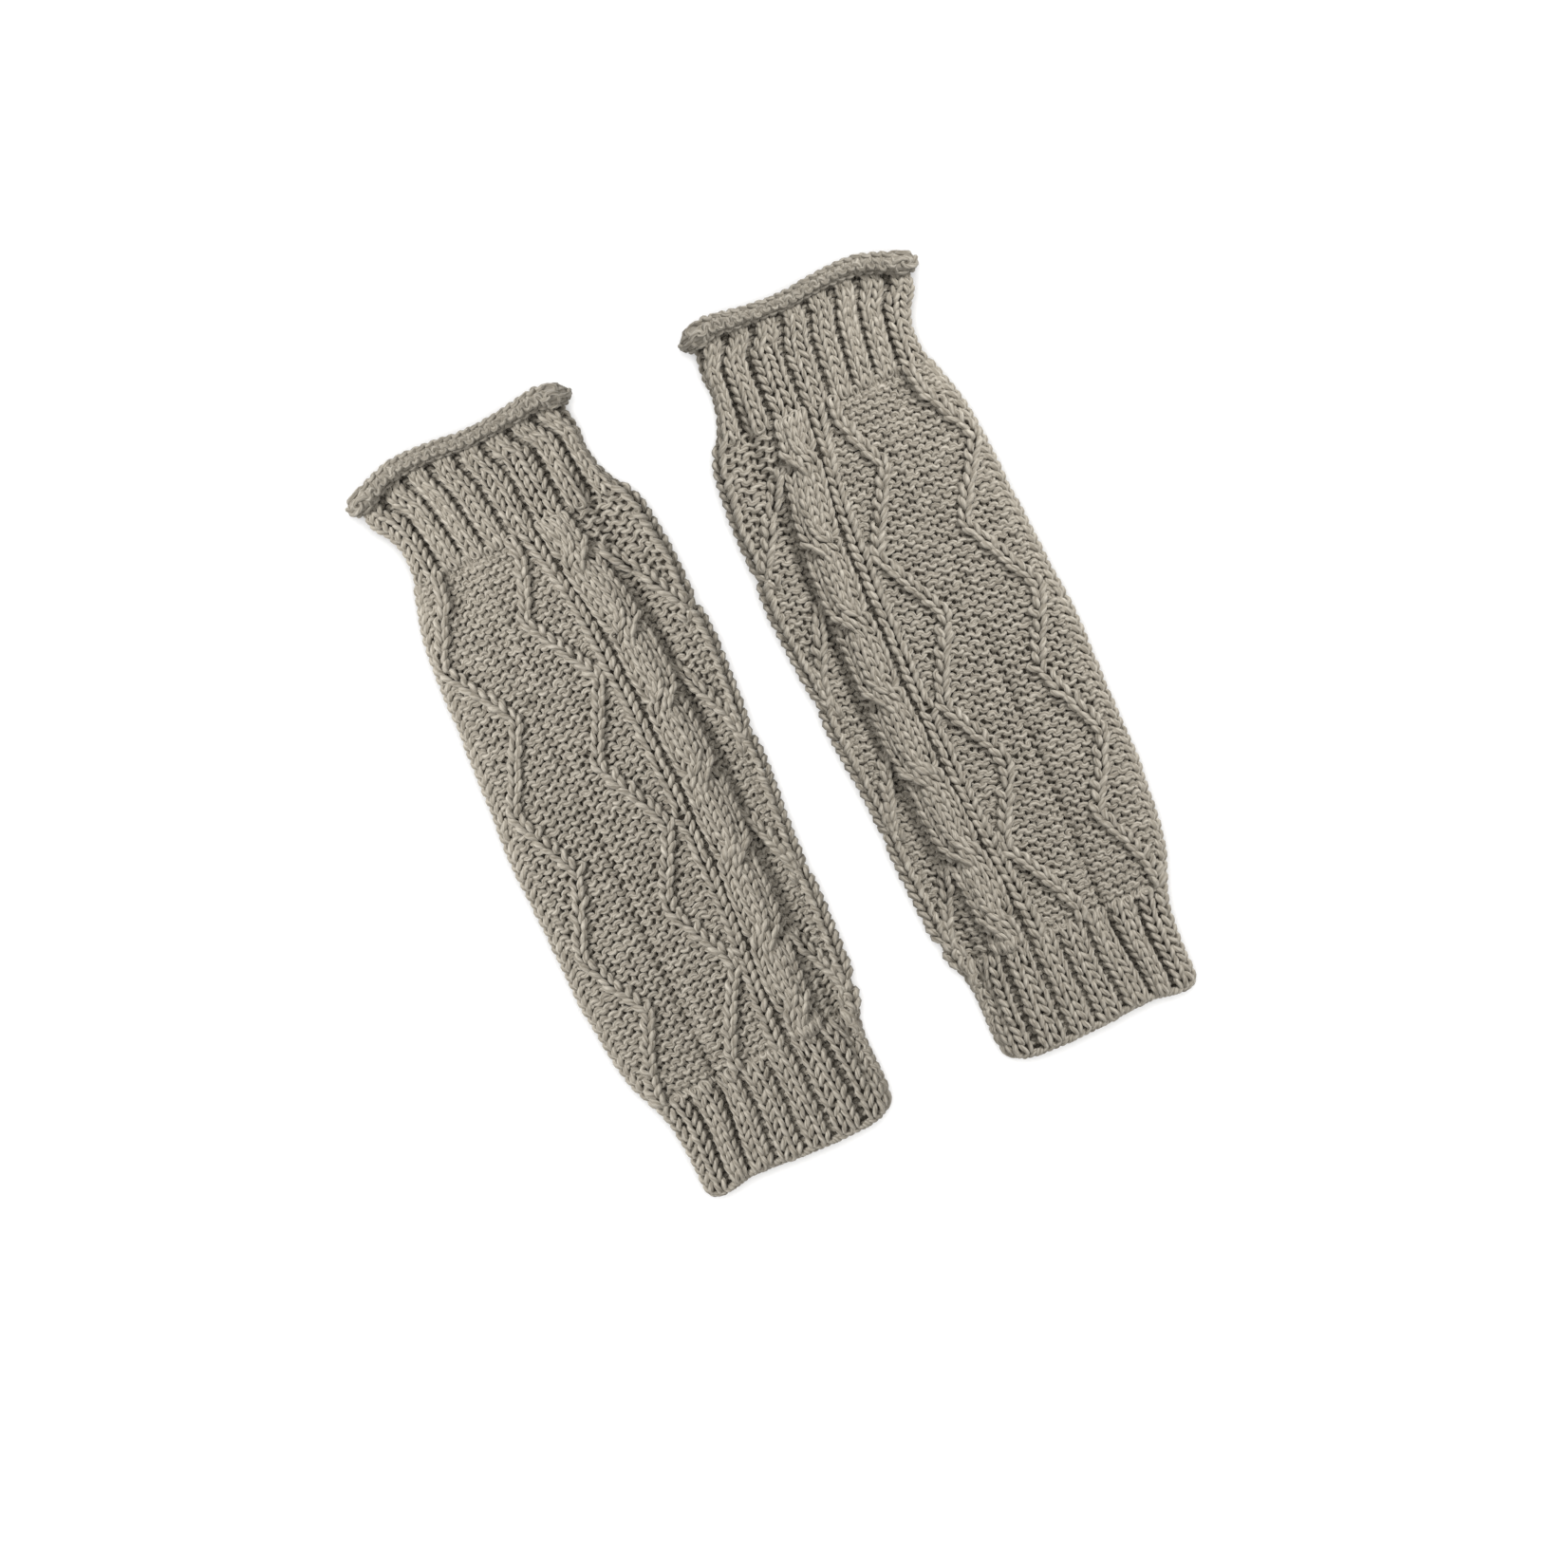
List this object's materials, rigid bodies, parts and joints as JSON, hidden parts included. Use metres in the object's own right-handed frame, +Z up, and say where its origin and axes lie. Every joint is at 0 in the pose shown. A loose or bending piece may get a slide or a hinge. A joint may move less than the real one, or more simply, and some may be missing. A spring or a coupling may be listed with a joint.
{
  "type": "fingerless gloves",
  "caption": "Pair of long hand-knitted fingerless gloves laid flat, with a rolled hand edge, ribbed cuffs, and a cable and zigzag pattern down each sleeve.",
  "frame": {"origin": "on the table, under the middle of the pair", "axes": "+Z up from the table, +Y along the gloves towards the rolled hand openings, +X across the pair from the left glove to the right one"},
  "size_m": [0.2324, 0.3059, 0.018],
  "materials": {
    "heathered_wool": "matte heathered taupe wool yarn"
  },
  "bodies": {
    "left_sleeve": {"left_cable_sleeve": "heathered_wool"},
    "left_hand_end": {"left_hand_cuff": "heathered_wool", "left_rolled_edge": "heathered_wool"},
    "left_hem_end": {"left_hem_cuff": "heathered_wool", "left_cast_on_edge": "heathered_wool"},
    "right_sleeve": {"right_cable_sleeve": "heathered_wool"},
    "right_hand_end": {"right_hand_cuff": "heathered_wool", "right_rolled_edge": "heathered_wool"},
    "right_hem_end": {"right_hem_cuff": "heathered_wool", "right_cast_on_edge": "heathered_wool"}
  },
  "joints": [
    {"name": "right_glove_apart", "type": "slide", "parent": "left_sleeve", "child": "right_sleeve", "axis": [1, 0, 0], "range_m": [0, 0.1]},
    {"name": "left_hand_cuff_fold", "type": "hinge", "parent": "left_sleeve", "child": "left_hand_end", "pos_m": [-0.06735, 0.10439, 0.0158], "axis": [0.9996, 0.0267, 0], "range_deg": [0, 165]},
    {"name": "left_hem_cuff_fold", "type": "hinge", "parent": "left_sleeve", "child": "left_hem_end", "pos_m": [-0.06165, -0.10879, 0.0158], "axis": [-0.9996, -0.0267, 0], "range_deg": [0, 165]},
    {"name": "right_hand_cuff_fold", "type": "hinge", "parent": "right_sleeve", "child": "right_hand_end", "pos_m": [0.06735, 0.10214, 0.0158], "axis": [0.9996, -0.0267, 0], "range_deg": [0, 165]},
    {"name": "right_hem_cuff_fold", "type": "hinge", "parent": "right_sleeve", "child": "right_hem_end", "pos_m": [0.06165, -0.11104, 0.0158], "axis": [-0.9996, 0.0267, 0], "range_deg": [0, 165]}
  ]
}
